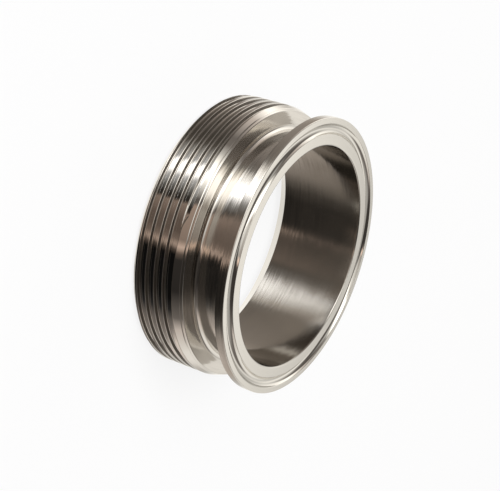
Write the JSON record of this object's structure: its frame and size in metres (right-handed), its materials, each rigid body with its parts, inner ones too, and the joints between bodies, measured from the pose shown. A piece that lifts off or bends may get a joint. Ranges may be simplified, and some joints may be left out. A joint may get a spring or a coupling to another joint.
{
  "type": "sanitary clamp threaded adapter",
  "caption": "Short stainless ring that joins a clamped ferrule to a threaded union: clamp flange with a gasket groove at one end, outside thread and bevelled seat at the other.",
  "frame": {"origin": "centre of the threaded end face", "axes": "+Z along the bore, from the threaded end to the clamp face; the thread groove's middle crosses +X at z = 0.5 mm"},
  "size_m": [0.0908, 0.0908, 0.034],
  "materials": {
    "steel": "turned and polished"
  },
  "bodies": {
    "root": {"adapter_body": "steel"}
  },
  "joints": []
}
